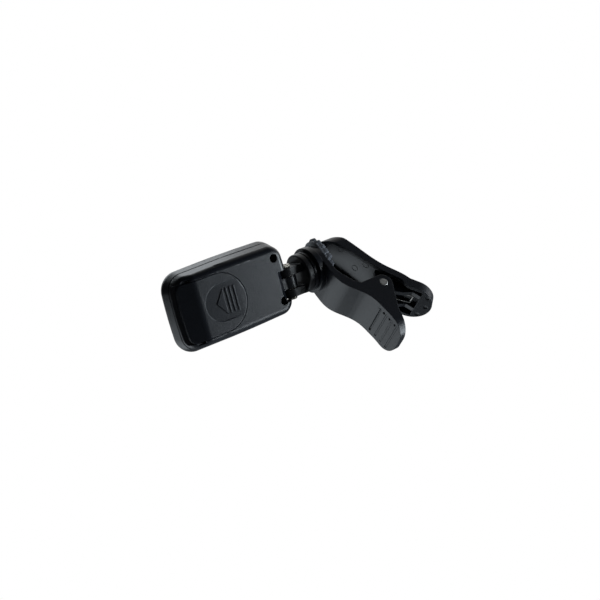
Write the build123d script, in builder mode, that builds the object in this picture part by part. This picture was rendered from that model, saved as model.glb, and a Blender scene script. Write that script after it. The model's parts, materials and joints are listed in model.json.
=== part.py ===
# Clip-on tuner: a two-shell head with a coin-cell door, hinged and swivelled on a clothes-peg clip.
#
# Row frame, millimetres. The origin is where the swivel axis meets the gripping face of the jaw pad.
# +X runs along the swivel axis from the head to the clip and is square to the pad's face. +Z runs along
# the hinge bolt, up. The back of the head looks towards -Y.

import os
from math import acos, atan2, cos, hypot, radians, sin, tan

from build123d import *

os.makedirs("parts", exist_ok=True)

# ---- how the clip is set at rest ----
clip_turn = 50.0            # the clip is turned this far about the swivel axis, degrees
handle_slope = 41.0         # closed, the far handle leans this far off the pad's face, degrees

# ---- fits ----
running = 0.05              # radial clearance of a turning or screwed fit
lug_fit = 0.1               # room round the lug's neck and root in the shells

# ---- swivel joint ----
disc_radius = 7.8
disc_thickness = 2.4
swivel_gap = 0.2            # half of the groove between the disc and the collar
stem_radius = 3.0
bearing_end = 5.0           # far end of the bearing, from the groove's middle
counterbore_radius = 5.1
wave_washer_radius = 4.6
wave_washer_height = 0.3
retainer_radius = 4.7
retainer_thickness = 0.6
swivel_screw_head_radius = 2.3
swivel_screw_head_height = 0.85
swivel_screw_radius = 1.0
swivel_screw_depth = 6.4
disc_edge_radius = 0.6

# ---- hinge fork ----
bolt_to_disc = 7.7          # bolt axis to the groove's middle
fork_drop = 1.3             # the fork's slot lies this far below the swivel axis
slot_height = 5.3
ear_thickness = 3.05
ear_radius = 3.75
bolt_radius = 1.0
bolt_head_radius = 1.9
bolt_head_height = 1.3
bolt_head_edge = 0.5
bolt_tip = 0.2              # the bolt's tip stays this far below the nut's top
nut_flats = 4.0
nut_height = 1.6
nut_pocket = 0.5
hinge_washer_radius = 2.9
hinge_washer_thickness = 0.3
lug_radius = 3.3
lug_side_gap = 0.03
lug_neck = 4.6
lug_root_length = 2.2
lug_root_spread = 0.7       # the root stands out this far each side of the neck
lug_root_depth = 6.4
lug_root_from_bolt = 8.4

# ---- head ----
head_length = 48.8
head_end = -1.7             # hinge end of the head, measured from the bolt axis
head_width = 29.4
head_draft = 15.0           # the sides lean outwards to the front by this much, degrees
head_side_bulge = 0.55      # the long sides swell this much between their ends
head_end_bulge = 0.8        # and the short sides this much
head_front = 6.5            # front face, in front of the bolt axis
head_back = 5.8             # back face, behind the bolt axis
head_rise = 1.9             # the head's middle lies this far above the swivel axis
head_corner = 6.4
back_edge_radius = 2.9
front_edge_radius = 3.0
ridge_radius = 5.0          # where the back face turns down into the far end's slope
notch_ramp_start = 7.4      # the back face slopes down into the notch from here, measured from the bolt axis
notch_ramp_depth = 2.6
notch_ramp_lead = 0.5       # the ramp's cut runs this far past the notch's wall
seam_chamfer = 0.2
wall = 1.6
end_block = 10.3            # solid stretch at the hinge end that holds the lug and two screws
ear_room = 0.85             # room round the fork's ears in the head's notch
nut_room = 0.6              # room round the nut and the bolt's head

# ---- battery bay and door ----
cell_radius = 10.0
cell_thickness = 3.2
cell_from_bolt = 32.8
bay_clearance = 0.35
tray_floor = 0.7
contact_sheet = 0.3
contact_gap = 0.1
contact_width = 4.4
contact_foot = 1.2          # the positive contact's foot reaches this far outward under the wall
contact_tail = 2.0          # width of the tails that go down to the board
contact_room = 0.5          # room round a contact in the tray, on its width
tail_room = 0.2             # room round a tail in the tray's slot
negative_strip = (11.1, 3.0)
negative_strip_shift = 1.5
negative_disc_radius = 3.4
negative_disc_shift = 2.0
negative_tail_shift = 6.9
cell_step = 0.3             # the cell's lower can face stands this far under its wide body
cell_step_inset = 0.9
bay_ring = 1.2              # wall left round the cell under the tray
lid_cavity_length = 32.0
positive_height = 3.0
door_half_width = 10.9
door_round_from_bolt = 33.8
door_ridge_from_bolt = 42.2
door_sheet = 1.2
door_gap = 0.2
door_low_edge = 2.7         # height of the door's outer skin at the far end
door_end_margin = 1.6       # rim of housing left past the door's far end
rail_reach = 0.9
rail_inside = 0.8
rail_height = 1.0
rail_drop = 1.0             # top of the rails below the back face
rail_end_short = 0.8
tongue_radius = 6.9
tongue_from_bolt = 33.4
tongue_fade_from_bolt = 25.5
tongue_depth = 0.55
mark_height = 0.25
arrow_length = 3.6
arrow_inset = 4.7           # the arrow's tip lies this far inside the recess's rim
mark_root = 0.2             # the arrow and bars are rooted this far under the recess
arrow_half_width = 4.8
bar_width = 0.6
bar_pitch = 1.7
bar_count = 3

# ---- display, board and buttons ----
window_length = 26.0
window_width = 24.0
window_thickness = 1.0
window_from_bolt = 31.2
window_ledge = 1.5
window_corner = 2.0
lcd_length = 24.0
lcd_width = 21.0
lcd_thickness = 2.3
backlight_width = 16.6
backlight_thickness = 0.6
strip_length = 22.0
strip_width = 1.6
board_thickness = 1.0
board_top = -0.6            # back side of the board, measured from the seam
board_margin = 0.3
boss_radius = 2.1
button_radius = 2.1
button_from_bolt = 15.0
button_spacing = 10.0
button_proud = 0.6
button_travel = 0.3
button_gap = 0.12
button_flange = 0.7
button_flange_height = 0.6
button_stem = 1.2
button_edge_radius = 0.3
stem_gap = 0.03             # slack between a button's stem and its switch
switch_side = 3.4
switch_height = 1.0
chip_side = 4.0
chip_height = 0.9
chip_spot = (5.5, -6.5)     # chip's middle, in from the cavity's start and off the head's middle
piezo_radius = 4.0
piezo_thickness = 0.4
piezo_from_bolt = 17.0
lid_cavity = 2.2            # depth of the cavity in the rear cover's underside

# ---- screws of the head ----
housing_screw_radius = 0.8
housing_screw_head_radius = 1.35
housing_screw_head_height = 1.1
housing_screw_recess = 1.65
housing_screw_seat = 1.0
housing_screw_depth = 5.0
hinge_screw_from_bolt = 7.5
hinge_screw_low = 8.2       # the lower screw sits further out, clear of the lug's root
hinge_screw_high = 8.6
door_screw_from_bolt = 45.6
door_screw_spacing = 15.6
board_screw_radius = 0.7
board_screw_head_radius = 1.4
board_screw_head_height = 0.8
board_screw_depth = 3.0
board_screw_inset = 2.6

# ---- clip, measured along the jaw and off the groove's middle ----
clip_width = 17.3
jaw_end_radius = 8.6
plate_outer = 4.4
plate_inner = 6.9
collar_neck_radius = 7.2
collar_lip_radius = 7.9
collar_base_radius = 9.1
collar_lip_end = 1.4
collar_neck_end = 2.0
side_wall = 1.7
grip_end = 43.6
grip_corner = 6.5
grip_rim = 16.4             # height of the near lever's rim at its end
pivot = (21.3, 21.5)
pin_radius = 1.65
pin_proud = 0.1
near_ear_radius = 3.6
near_ear_foot = (33.5, 19.3)
groove_first = 30.5
groove_pitch = 3.1
groove_count = 4
groove_width = 0.8
groove_depth = 0.4
far_skin = 1.6
far_rim = 4.0               # depth of the far lever's side walls, from its back
far_wall = 1.5
far_tip = -7.4
far_tip_foot = 11.5
far_tip_corner = 5.5
far_back_height = 9.0       # back of the far handle, measured square to the handle
handle_length = 52.6        # end of the far handle, measured along it
pocket_end = 46.5           # where the handle's solid end starts
web_gap = 5.9
web_thickness = 1.9
web_boss_radius = 3.2
wire_radius = 0.45
coil_clearance = 0.3
coil_pitch = 0.82
leg_inset = 0.15            # the legs leave the coil this far inside its middle line
coil_turns = 6
bridge_along = 44.3         # where the spring's bridge crosses the far handle

# ---- jaw pad ----
pad_length = 14.2
pad_width = 16.0
pad_corner = 5.3
pad_middle = -2.3
pad_face = 10.4             # gripping face, measured from the groove's middle
pad_edge = 0.8

# ---- planes that follow ----
groove_x = -pad_face
hinge_x = groove_x - bolt_to_disc
turn = radians(clip_turn)
lean = radians(handle_slope)
along = Vector(0, -cos(turn), -sin(turn))      # from the jaw to the handles
pin_way = Vector(0, -sin(turn), cos(turn))     # along the pivot pin
swivel = Vector(1, 0, 0)
handle_way = along * cos(lean) + swivel * sin(lean)
handle_out = swivel * cos(lean) - along * sin(lean)

head = Plane(origin=(hinge_x, 0, head_rise), x_dir=(1, 0, 0), z_dir=(0, -1, 0))
across = Plane(origin=(hinge_x, 0, head_rise), x_dir=(1, 0, 0), z_dir=(0, 0, -1))
bolt = Plane(origin=(hinge_x, 0, -fork_drop), x_dir=(1, 0, 0), z_dir=(0, 0, 1))
stack = Plane(origin=(groove_x, 0, 0), x_dir=(0, 1, 0), z_dir=(1, 0, 0))
side = Plane(origin=(groove_x, 0, 0), x_dir=along, z_dir=pin_way)
plan = Plane(origin=(groove_x, 0, 0), x_dir=along, z_dir=swivel)
handle = Plane(origin=(groove_x, 0, 0), x_dir=handle_way, z_dir=handle_out)
towards_back = Axis((0, 0, 0), (0, -1, 0))
towards_clip = Axis((0, 0, 0), (1, 0, 0))

# ---- sizes that follow ----
head_middle = head_end - head_length / 2
cavity_length = head_length - end_block - wall
cavity_middle = head_end - end_block - cavity_length / 2
cavity_start = head_end - end_block
cavity_width = head_width - 2 * wall
cavity_floor = -head_front + wall
fork_middle = -fork_drop - head_rise
fork_half = slot_height / 2 + ear_thickness
nut_top = fork_half - nut_pocket + nut_height
lug_height = slot_height - 2 * hinge_washer_thickness - 2 * lug_side_gap
both_sides = (-1, 1)
hinge_screws = [(-hinge_screw_from_bolt, -hinge_screw_low), (-hinge_screw_from_bolt, hinge_screw_high)]
door_screws = [(-door_screw_from_bolt, k * door_screw_spacing / 2) for k in both_sides]
board_screws = [(cavity_start - board_screw_inset, k * (cavity_width / 2 - board_screw_inset)) for k in both_sides]
button_spots = [(-button_from_bolt, k * button_spacing / 2) for k in both_sides]
door_far = head_end - head_length + door_end_margin
door_slope = (head_back - door_low_edge) / (-door_ridge_from_bolt - door_far)
door_stretch = hypot(1, door_slope)
rail_start = -door_round_from_bolt
rail_end = -door_ridge_from_bolt + rail_end_short
positive_spot = -cell_radius - contact_gap
board_bottom = board_top - board_thickness


def save(part, name):
    part.label = name
    export_step(part, f"parts/{name}.step")


def swell_radius(chord, bulge):
    # radius of the arc that rises `bulge` above a chord
    return (chord**2 / 4 + bulge**2) / (2 * bulge)


def head_outline(grow=0.0):
    # the head's outline seen on its back: a rectangle with swollen sides and rounded corners
    length = head_length + 2 * grow
    width = head_width + 2 * grow
    long_arc = swell_radius(length, head_side_bulge)
    short_arc = swell_radius(width, head_end_bulge)
    with BuildSketch() as outline:
        with Locations((head_middle, 0)):
            Rectangle(length, width)
        for k in both_sides:
            with Locations((head_middle, k * (width / 2 - long_arc))):
                Circle(long_arc, mode=Mode.INTERSECT)
            with Locations((head_middle + k * (length / 2 - short_arc), 0)):
                Circle(short_arc, mode=Mode.INTERSECT)
        fillet(outline.vertices(), radius=head_corner + grow)
    return outline.sketch


def screws(plane, spots, head_radius, head_height, radius, seat, depth):
    # cross-slotted screws whose heads stand on `seat` and whose shafts go `depth` below it
    with BuildSketch(plane.offset(seat)) as heads:
        with Locations(*spots):
            Circle(head_radius)
    extrude(heads.sketch, amount=head_height)
    with BuildSketch(plane.offset(seat + head_height)) as slots:
        with Locations(*spots):
            Rectangle(1.2 * head_radius, 0.28 * head_radius)
            Rectangle(0.28 * head_radius, 1.2 * head_radius)
    extrude(slots.sketch, amount=-0.45 * head_height, mode=Mode.SUBTRACT)
    with BuildSketch(plane.offset(seat)) as shafts:
        with Locations(*spots):
            Circle(radius)
    extrude(shafts.sketch, amount=-depth)


def cut_box(plane, middle, size, start, end):
    with BuildSketch(plane.offset(start)) as outline:
        with Locations(middle):
            Rectangle(*size)
    extrude(outline.sketch, amount=end - start, mode=Mode.SUBTRACT)


def cut_lug_room():
    # the notch for the fork's ears, the shallower notch for nut and bolt head, and the lug's room
    low = fork_middle - fork_half
    high = fork_middle + fork_half
    ear_depth = ear_radius + ear_room
    nut_depth = nut_flats / 2 / cos(radians(30)) + nut_room
    reach = head_front + head_back
    cut_box(head, ((1 - ear_depth) / 2, fork_middle), (1 + ear_depth, high - low + ear_room), -reach, reach)
    bottom = low - bolt_head_height - nut_room
    top = fork_middle + nut_top + nut_room
    cut_box(head, ((1 - nut_depth) / 2, (bottom + top) / 2), (1 + nut_depth, top - bottom), -reach, reach)
    neck_half = lug_neck / 2 + lug_fit
    cut_box(
        head,
        (-lug_root_from_bolt / 2, fork_middle),
        (lug_root_from_bolt, lug_height + 2 * lug_fit),
        -neck_half,
        neck_half,
    )
    root_half = lug_root_depth / 2 + lug_fit
    root_width = lug_height + 2 * lug_root_spread + 2 * lug_fit
    cut_box(
        head,
        (-lug_root_from_bolt, fork_middle),
        (lug_root_length + 2 * lug_fit, root_width),
        -root_half,
        root_half,
    )


# ======== front housing ========
with BuildPart() as front_housing:
    with BuildSketch(head.offset(-head_front)):
        add(head_outline(head_front * tan(radians(head_draft))))
    extrude(amount=head_front, taper=head_draft)
    fillet(front_housing.faces().sort_by(towards_back)[0].edges(), radius=front_edge_radius)
    chamfer(front_housing.faces().sort_by(towards_back)[-1].edges(), length=seam_chamfer)
    with BuildSketch(head):
        with Locations((cavity_middle, 0)):
            RectangleRounded(cavity_length, cavity_width, head_corner - wall)
    extrude(amount=cavity_floor, mode=Mode.SUBTRACT)
    with BuildSketch(head.offset(cavity_floor)):
        with Locations(*door_screws):
            Circle(boss_radius)
    extrude(amount=-cavity_floor)
    with BuildSketch(head.offset(cavity_floor)):
        with Locations(*board_screws):
            Circle(boss_radius)
    extrude(amount=board_bottom - cavity_floor)
    with BuildSketch(head.offset(-head_front)):
        with Locations((-window_from_bolt, 0)):
            RectangleRounded(window_length, window_width, window_corner)
    extrude(amount=window_thickness, mode=Mode.SUBTRACT)
    with BuildSketch(head.offset(-head_front)):
        with Locations((-window_from_bolt, 0)):
            Rectangle(window_length - 2 * window_ledge, window_width - 2 * window_ledge)
        with Locations(*button_spots):
            Circle(button_radius + button_gap)
    extrude(amount=wall, mode=Mode.SUBTRACT)
    with BuildSketch(head):
        with Locations(*hinge_screws, *door_screws):
            Circle(housing_screw_radius + running)
    extrude(amount=housing_screw_seat - housing_screw_depth - 0.3, mode=Mode.SUBTRACT)
    with BuildSketch(head.offset(board_bottom)):
        with Locations(*board_screws):
            Circle(board_screw_radius + running)
    extrude(amount=board_thickness - board_screw_depth - 0.3, mode=Mode.SUBTRACT)
    cut_lug_room()
save(front_housing.part, "front_housing")

# ======== rear cover ========
def door_plan(grow):
    # straight sides that end in a half circle towards the hinge
    reach = -door_round_from_bolt - door_far + 6
    with Locations((-door_round_from_bolt, 0)):
        Circle(door_half_width + grow)
    with Locations((-door_round_from_bolt - reach / 2, 0)):
        Rectangle(reach, 2 * (door_half_width + grow))


def skin_line(drop):
    # side line of the door's skin, `drop` below its outer face: far point, ridge, hinge side
    shift = drop * (door_stretch - 1) / door_slope
    far = door_far - 6
    far_height = head_back + (far + door_ridge_from_bolt) * door_slope - drop * door_stretch
    return [(far, far_height), (-door_ridge_from_bolt + shift, head_back - drop), (0, head_back - drop)]


def skin_block(drop, level, mode):
    # works on everything between the skin line and `level` across the whole head
    line = skin_line(drop)
    with BuildSketch(across) as block:
        with BuildLine() as edge:
            Polyline(*line, (0, level), (line[0][0], level), close=True)
        make_face(edge.edges())
        ridge = block.vertices().sort_by_distance((line[1][0], line[1][1], 0))[0]
        fillet(ridge, radius=ridge_radius - drop)
    extrude(block.sketch, amount=head_width, both=True, mode=mode)


with BuildPart() as cover_blank:
    with BuildSketch(head):
        add(head_outline())
    extrude(amount=head_back, taper=head_draft)
    skin_block(0, head_back + 4, Mode.SUBTRACT)
    skins = [face for face in cover_blank.faces() if face.normal_at().Y < -0.3]
    skin_edges = [edge for face in skins for edge in face.edges()]
    rim = [edge for edge in skin_edges if sum(edge.is_same(other) for other in skin_edges) == 1]
    fillet(rim, radius=back_edge_radius)
    chamfer(cover_blank.faces().sort_by(towards_back)[0].edges(), length=seam_chamfer)


with BuildPart() as door_room:
    with BuildSketch(head):
        door_plan(door_gap)
    extrude(amount=head_back + 3)
    skin_block(door_sheet + door_gap / 2, head_back + 4, Mode.INTERSECT)

with BuildPart() as rear_cover:
    add(cover_blank.part)
    add(door_room.part, mode=Mode.SUBTRACT)
    with BuildSketch(head.offset(tray_floor)):
        with Locations((-cell_from_bolt, 0)):
            Circle(cell_radius + bay_clearance)
        with Locations((-cell_from_bolt, positive_spot - contact_foot / 2)):
            Rectangle(contact_width + 2 * contact_room, contact_foot + contact_sheet)
    extrude(amount=head_back - door_sheet - tray_floor, mode=Mode.SUBTRACT)
    groove_reach = -rail_start - door_far + 6
    groove_inside = door_half_width - rail_inside - door_gap
    groove_outside = door_half_width + rail_reach + door_gap
    for k in both_sides:
        cut_box(
            head,
            (rail_start + door_gap - groove_reach / 2, k * (groove_inside + groove_outside) / 2),
            (groove_reach, groove_outside - groove_inside),
            head_back - rail_drop - rail_height - door_gap,
            head_back - rail_drop + door_gap,
        )
    with BuildSketch(head):
        with Locations((cavity_start - lid_cavity_length / 2, 0)):
            RectangleRounded(lid_cavity_length, cavity_width, head_corner - wall)
        with Locations((-cell_from_bolt, 0)):
            Circle(cell_radius + bay_clearance + bay_ring, mode=Mode.SUBTRACT)
    extrude(amount=lid_cavity, mode=Mode.SUBTRACT)
    with BuildSketch(head.offset(housing_screw_seat)):
        with Locations(*hinge_screws, *door_screws):
            Circle(housing_screw_recess)
    extrude(amount=head_back, mode=Mode.SUBTRACT)
    with BuildSketch(head):
        with Locations(*hinge_screws, *door_screws):
            Circle(housing_screw_radius + running)
        with Locations((-cell_from_bolt, positive_spot - contact_foot + contact_sheet / 2)):
            Rectangle(contact_tail + 2 * tail_room, contact_sheet + 2 * tail_room)
        with Locations((-cell_from_bolt - negative_tail_shift, 0)):
            Rectangle(contact_sheet + 2 * tail_room, contact_tail + 2 * tail_room)
    extrude(amount=housing_screw_seat, mode=Mode.SUBTRACT)
    cut_lug_room()
    ramp_end = -ear_radius - ear_room
    with BuildSketch(Plane(origin=(hinge_x, 0, head_rise + fork_middle), x_dir=(1, 0, 0), z_dir=(0, 0, -1))):
        with BuildLine():
            Polyline(
                (-notch_ramp_start, head_back),
                (ramp_end, head_back - notch_ramp_depth),
                (ramp_end + notch_ramp_lead, head_back + 1),
                (-notch_ramp_start, head_back + 1),
                close=True,
            )
        make_face()
    extrude(amount=fork_half + ear_room / 2, both=True, mode=Mode.SUBTRACT)
save(rear_cover.part, "rear_cover")

# ======== battery door: skin, rails, finger recess with a sliding-way arrow ========
tongue_slope = tongue_depth / (tongue_from_bolt + tongue_radius - tongue_fade_from_bolt)
tongue = Plane(
    origin=(hinge_x - tongue_fade_from_bolt, -head_back, head_rise),
    x_dir=(1, -tongue_slope, 0),
    z_dir=(-tongue_slope, -1, 0),
)
tongue_centre = tongue_fade_from_bolt - tongue_from_bolt
with BuildPart() as battery_door:
    with BuildSketch(head):
        door_plan(0)
    extrude(amount=head_back)
    add(cover_blank.part, mode=Mode.INTERSECT)
    with BuildSketch(head):
        add(head_outline(-door_end_margin))
    extrude(amount=head_back, mode=Mode.INTERSECT)
    skin_block(0, head_back + 4, Mode.SUBTRACT)
    skin_block(door_sheet, -4, Mode.SUBTRACT)
    for k in both_sides:
        with BuildSketch(head.offset(head_back - rail_drop - rail_height)):
            with Locations(((rail_start + rail_end) / 2, k * (door_half_width + (rail_reach - rail_inside) / 2))):
                Rectangle(rail_start - rail_end, rail_reach + rail_inside)
        extrude(amount=rail_height)
    with BuildSketch(tongue):
        with Locations((tongue_centre, 0)):
            Circle(tongue_radius)
        with Locations((tongue_centre / 2 + 1, 0)):
            Rectangle(-tongue_centre + 2, 2 * tongue_radius)
    extrude(amount=2, mode=Mode.SUBTRACT)
    arrow_tip = tongue_centre - tongue_radius + arrow_inset
    with BuildSketch(tongue.offset(-mark_root)):
        with BuildLine():
            Polyline(
                (arrow_tip, 0),
                (arrow_tip + arrow_length, arrow_half_width),
                (arrow_tip + arrow_length, -arrow_half_width),
                close=True,
            )
        make_face()
        for k in range(bar_count):
            with Locations((arrow_tip + arrow_length + bar_pitch * (k + 0.8), 0)):
                Rectangle(bar_width, 2 * arrow_half_width)
    extrude(amount=mark_root + mark_height)
save(battery_door.part, "battery_door")

# ======== power: coin cell and its two contacts ========
with BuildPart() as coin_cell:
    with BuildSketch(head.offset(tray_floor + contact_sheet)):
        with Locations((-cell_from_bolt, 0)):
            Circle(cell_radius - cell_step_inset)
    extrude(amount=2 * cell_step)
    with BuildSketch(head.offset(tray_floor + contact_sheet + cell_step)):
        with Locations((-cell_from_bolt, 0)):
            Circle(cell_radius)
    extrude(amount=cell_thickness - cell_step)
save(coin_cell.part, "coin_cell")

with BuildPart() as battery_contact_negative:
    with BuildSketch(head.offset(tray_floor)):
        with Locations((-cell_from_bolt - negative_strip_shift, 0)):
            Rectangle(*negative_strip)
        with Locations((-cell_from_bolt + negative_disc_shift, 0)):
            Circle(negative_disc_radius)
    extrude(amount=contact_sheet)
    with BuildSketch(head.offset(board_top)):
        with Locations((-cell_from_bolt - negative_tail_shift, 0)):
            Rectangle(contact_sheet, contact_tail)
    extrude(amount=tray_floor + contact_sheet - board_top)
save(battery_contact_negative.part, "battery_contact_negative")

with BuildPart() as battery_contact_positive:
    with BuildSketch(head.offset(tray_floor)):
        with Locations((-cell_from_bolt, positive_spot - contact_sheet / 2)):
            Rectangle(contact_width, contact_sheet)
    extrude(amount=positive_height)
    with BuildSketch(head.offset(tray_floor)):
        with Locations((-cell_from_bolt, positive_spot - contact_foot / 2)):
            Rectangle(contact_width, contact_foot)
    extrude(amount=contact_sheet)
    with BuildSketch(head.offset(board_top)):
        with Locations((-cell_from_bolt, positive_spot - contact_foot + contact_sheet / 2)):
            Rectangle(contact_tail, contact_sheet)
    extrude(amount=tray_floor + contact_sheet - board_top)
save(battery_contact_positive.part, "battery_contact_positive")

# ======== board and what stands on it ========
with BuildPart() as circuit_board:
    with BuildSketch(head.offset(board_top)):
        with Locations((cavity_middle, 0)):
            RectangleRounded(
                cavity_length - 2 * board_margin,
                cavity_width - 2 * board_margin,
                head_corner - wall - board_margin,
            )
        with Locations(*door_screws):
            Circle(boss_radius + board_margin, mode=Mode.SUBTRACT)
        with Locations(*board_screws):
            Circle(board_screw_radius + running, mode=Mode.SUBTRACT)
    extrude(amount=-board_thickness)
save(circuit_board.part, "circuit_board")

with BuildPart() as controller_chip:
    with BuildSketch(head.offset(board_top)):
        with Locations((cavity_start - chip_spot[0], chip_spot[1])):
            Rectangle(chip_side, chip_side)
    extrude(amount=chip_height)
save(controller_chip.part, "controller_chip")

with BuildPart() as button_switches:
    with BuildSketch(head.offset(board_bottom)):
        with Locations(*button_spots):
            Rectangle(switch_side, switch_side)
    extrude(amount=-switch_height * 0.6)
    with BuildSketch(head.offset(board_bottom)):
        with Locations(*button_spots):
            Circle(switch_side * 0.32)
    extrude(amount=-switch_height)
save(button_switches.part, "button_switches")

with BuildPart() as piezo_sensor:
    with BuildSketch(head.offset(lid_cavity)):
        with Locations((-piezo_from_bolt, 0)):
            Circle(piezo_radius)
    extrude(amount=-piezo_thickness / 2)
    with BuildSketch(head.offset(lid_cavity)):
        with Locations((-piezo_from_bolt, 0)):
            Circle(piezo_radius * 0.7)
    extrude(amount=-piezo_thickness)
save(piezo_sensor.part, "piezo_sensor")

with BuildPart() as board_screws_pair:
    screws(
        head,
        board_screws,
        board_screw_head_radius,
        board_screw_head_height,
        board_screw_radius,
        board_top,
        board_screw_depth,
    )
save(board_screws_pair.part, "board_screws")

# ======== display ========
lcd_back = cavity_floor + lcd_thickness
with BuildPart() as display_window:
    with BuildSketch(head.offset(-head_front)):
        with Locations((-window_from_bolt, 0)):
            RectangleRounded(window_length - 2 * running, window_width - 2 * running, window_corner)
    extrude(amount=window_thickness)
save(display_window.part, "display_window")

with BuildPart() as lcd_module:
    with BuildSketch(head.offset(cavity_floor)):
        with Locations((-window_from_bolt, 0)):
            Rectangle(lcd_length, lcd_width)
    extrude(amount=lcd_thickness)
save(lcd_module.part, "lcd_module")

with BuildPart() as backlight_diffuser:
    with BuildSketch(head.offset(lcd_back)):
        with Locations((-window_from_bolt, (backlight_width - lcd_width) / 2 + 0.8)):
            Rectangle(lcd_length, backlight_width)
    extrude(amount=backlight_thickness)
save(backlight_diffuser.part, "backlight_diffuser")

with BuildPart() as elastomer_strip:
    with BuildSketch(head.offset(lcd_back)):
        with Locations((-window_from_bolt, lcd_width / 2 - strip_width / 2 - 0.4)):
            Rectangle(strip_length, strip_width)
    extrude(amount=board_bottom - lcd_back)
save(elastomer_strip.part, "elastomer_strip")


# ======== buttons ========
def button_at(spot):
    flange_front = cavity_floor + running
    with BuildSketch(head.offset(-head_front - button_proud)) as cap:
        with Locations(spot):
            Circle(button_radius)
    extrude(cap.sketch, amount=flange_front + head_front + button_proud)
    with BuildSketch(head.offset(flange_front)) as flange:
        with Locations(spot):
            Circle(button_radius + button_flange)
    extrude(flange.sketch, amount=button_flange_height)
    with BuildSketch(head.offset(flange_front)) as stem:
        with Locations(spot):
            Circle(button_stem)
    extrude(stem.sketch, amount=board_bottom - switch_height - button_travel - flange_front - stem_gap)


with BuildPart() as power_button:
    button_at(button_spots[1])
    fillet(power_button.faces().sort_by(towards_back)[0].edges(), radius=button_edge_radius)
save(power_button.part, "power_button")

with BuildPart() as mode_button:
    button_at(button_spots[0])
    fillet(mode_button.faces().sort_by(towards_back)[0].edges(), radius=button_edge_radius)
save(mode_button.part, "mode_button")

with BuildPart() as housing_screws:
    screws(
        head,
        hinge_screws + door_screws,
        housing_screw_head_radius,
        housing_screw_head_height,
        housing_screw_radius,
        housing_screw_seat,
        housing_screw_depth,
    )
save(housing_screws.part, "housing_screws")

# ======== hinge ========
with BuildPart() as hinge_lug:
    with BuildSketch(bolt.offset(-lug_height / 2)):
        Circle(lug_radius)
        with Locations((-lug_root_from_bolt / 2, 0)):
            Rectangle(lug_root_from_bolt, lug_neck)
    extrude(amount=lug_height)
    with BuildSketch(bolt.offset(-lug_height / 2 - lug_root_spread)):
        with Locations((-lug_root_from_bolt, 0)):
            Rectangle(lug_root_length, lug_root_depth)
    extrude(amount=lug_height + 2 * lug_root_spread)
    with BuildSketch(bolt.offset(-slot_height)):
        Circle(bolt_radius + running)
    extrude(amount=2 * slot_height, mode=Mode.SUBTRACT)
save(hinge_lug.part, "hinge_lug")

with BuildPart() as hinge_washers:
    for k in both_sides:
        with BuildSketch(bolt.offset(k * slot_height / 2)):
            Circle(hinge_washer_radius)
            Circle(bolt_radius + running, mode=Mode.SUBTRACT)
        extrude(amount=-k * hinge_washer_thickness)
save(hinge_washers.part, "hinge_washers")

disc_back = -swivel_gap - disc_thickness
with BuildPart() as swivel_fork:
    with BuildSketch(stack.offset(disc_back)):
        Circle(disc_radius)
    extrude(amount=disc_thickness)
    fillet(swivel_fork.faces().sort_by(towards_clip)[0].edges(), radius=disc_edge_radius)
    with BuildSketch(bolt.offset(-fork_half)):
        Circle(ear_radius)
        with Locations(((bolt_to_disc + disc_back + 1) / 2, 0)):
            Rectangle(bolt_to_disc + disc_back + 1, 2 * ear_radius)
    extrude(amount=2 * fork_half)
    slot_reach = bolt_to_disc + disc_back + ear_radius
    with BuildSketch(bolt.offset(-slot_height / 2)):
        with Locations((slot_reach / 2 - ear_radius, 0)):
            Rectangle(slot_reach, 3 * ear_radius)
    extrude(amount=slot_height, mode=Mode.SUBTRACT)
    with BuildSketch(stack.offset(-swivel_gap)):
        Circle(stem_radius)
    extrude(amount=bearing_end + wave_washer_height + swivel_gap)
    with BuildSketch(stack.offset(bearing_end + wave_washer_height)):
        Circle(swivel_screw_radius + running)
    extrude(amount=-swivel_screw_depth - 0.2, mode=Mode.SUBTRACT)
    with BuildSketch(bolt.offset(-fork_half)):
        Circle(bolt_radius + running)
    extrude(amount=2 * fork_half, mode=Mode.SUBTRACT)
    with BuildSketch(bolt.offset(fork_half)):
        RegularPolygon(nut_flats / 2 + running, 6, major_radius=False)
    extrude(amount=-nut_pocket, mode=Mode.SUBTRACT)
save(swivel_fork.part, "swivel_fork")

with BuildPart() as hinge_bolt:
    with BuildSketch(bolt.offset(-fork_half - bolt_head_height)):
        Circle(bolt_head_radius)
    extrude(amount=bolt_head_height)
    fillet(hinge_bolt.faces().sort_by(Axis.Z)[0].edges(), radius=bolt_head_edge)
    with BuildSketch(bolt.offset(-fork_half)):
        Circle(bolt_radius)
    extrude(amount=fork_half + nut_top - bolt_tip)
save(hinge_bolt.part, "hinge_bolt")

with BuildPart() as hinge_nut:
    with BuildSketch(bolt.offset(fork_half - nut_pocket)):
        RegularPolygon(nut_flats / 2, 6, major_radius=False)
        Circle(bolt_radius + running, mode=Mode.SUBTRACT)
    extrude(amount=nut_height)
save(hinge_nut.part, "hinge_nut")

# ======== swivel fastening under the pad ========
with BuildPart() as wave_washer:
    with BuildSketch(stack.offset(bearing_end)):
        Circle(wave_washer_radius)
        Circle(stem_radius + 2 * running, mode=Mode.SUBTRACT)
    extrude(amount=wave_washer_height)
save(wave_washer.part, "wave_washer")

retainer_start = bearing_end + wave_washer_height
with BuildPart() as retainer_washer:
    with BuildSketch(stack.offset(retainer_start)):
        Circle(retainer_radius)
        Circle(swivel_screw_radius + running, mode=Mode.SUBTRACT)
    extrude(amount=retainer_thickness)
save(retainer_washer.part, "retainer_washer")

with BuildPart() as swivel_screw:
    screws(
        stack,
        [(0, 0)],
        swivel_screw_head_radius,
        swivel_screw_head_height,
        swivel_screw_radius,
        retainer_start + retainer_thickness,
        swivel_screw_depth,
    )
save(swivel_screw.part, "swivel_screw")


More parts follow.
